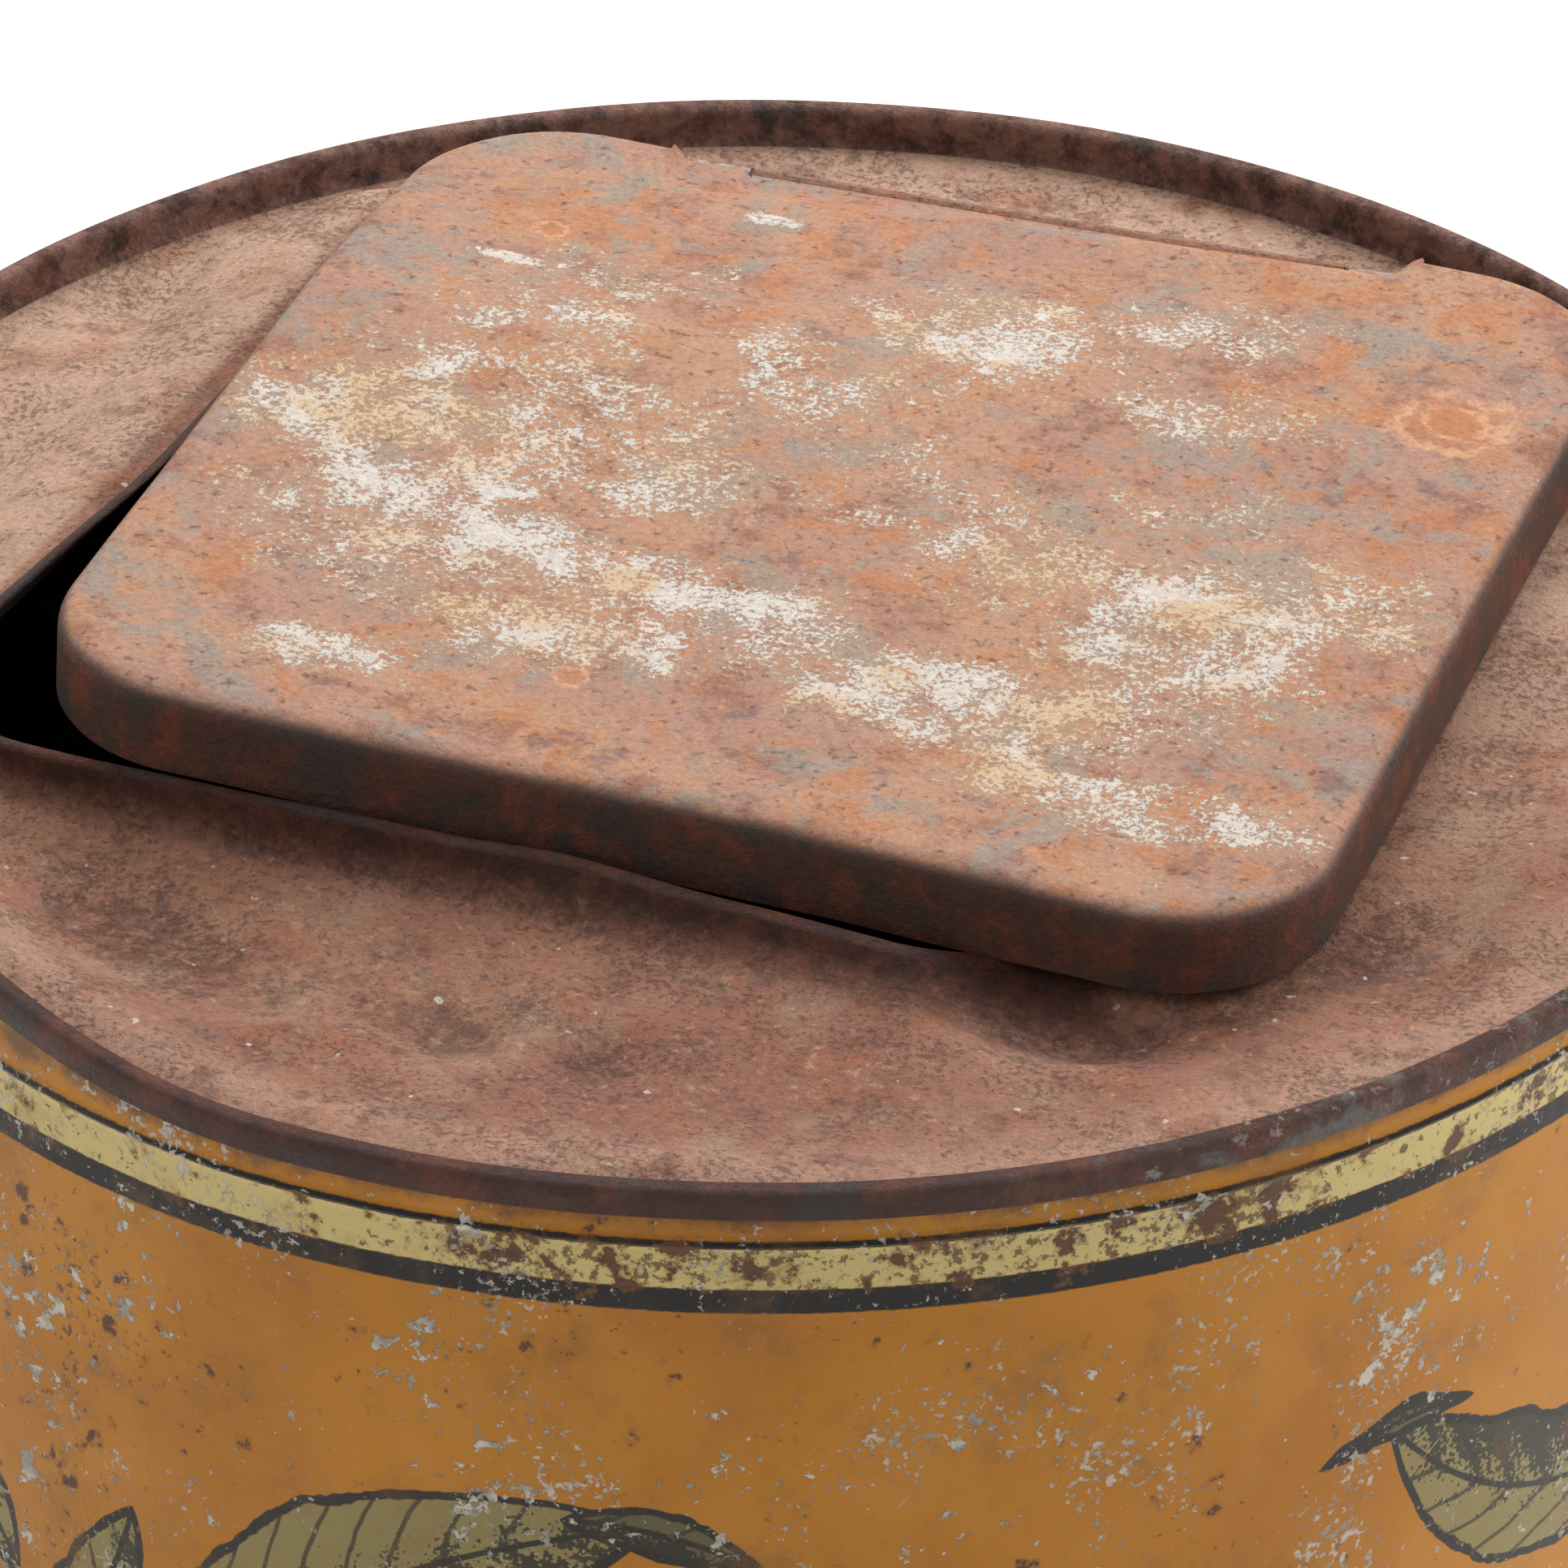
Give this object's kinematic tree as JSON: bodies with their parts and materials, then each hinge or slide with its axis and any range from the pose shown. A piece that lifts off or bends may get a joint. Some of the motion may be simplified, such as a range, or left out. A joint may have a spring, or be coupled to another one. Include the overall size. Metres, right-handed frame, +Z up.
{
  "type": "lithographed counter tin",
  "caption": "Round printed tin canister with a sunk top, a raised square opening and a wire-hinged square lid that sits askew.",
  "frame": {"origin": "centre of the base, on the plane the bottom rim stands on", "axes": "+Z up, -Y to the front, +X to the right along the hinge wire"},
  "size_m": [0.2097, 0.2096, 0.2907],
  "materials": {
    "printed_tinplate": "satin ochre litho print with cream and black bands, scratched and rust-specked",
    "rusted_tinplate": "matt brown rust over worn grey tin",
    "rusted_painted_lid": "matt orange-brown rust with speckled remains of cream paint",
    "hinge_wire": "dark rusted drawn wire",
    "solder": "dull grey drawn solder"
  },
  "bodies": {
    "tin": {"body_wall": "printed_tinplate", "seam_solder": "solder", "bottom_end": "rusted_tinplate", "top_end": "rusted_tinplate", "hinge_wire": "hinge_wire", "hinge_clip_left": "rusted_tinplate", "hinge_clip_right": "rusted_tinplate", "clip_solder": "solder"},
    "lid": {"lid": "rusted_painted_lid"}
  },
  "joints": [
    {"name": "lid_hinge", "type": "hinge", "parent": "tin", "child": "lid", "pos_m": [0.005, 0.07934, 0.2818], "axis": [-1, 0, 0], "range_deg": [0, 110]}
  ]
}
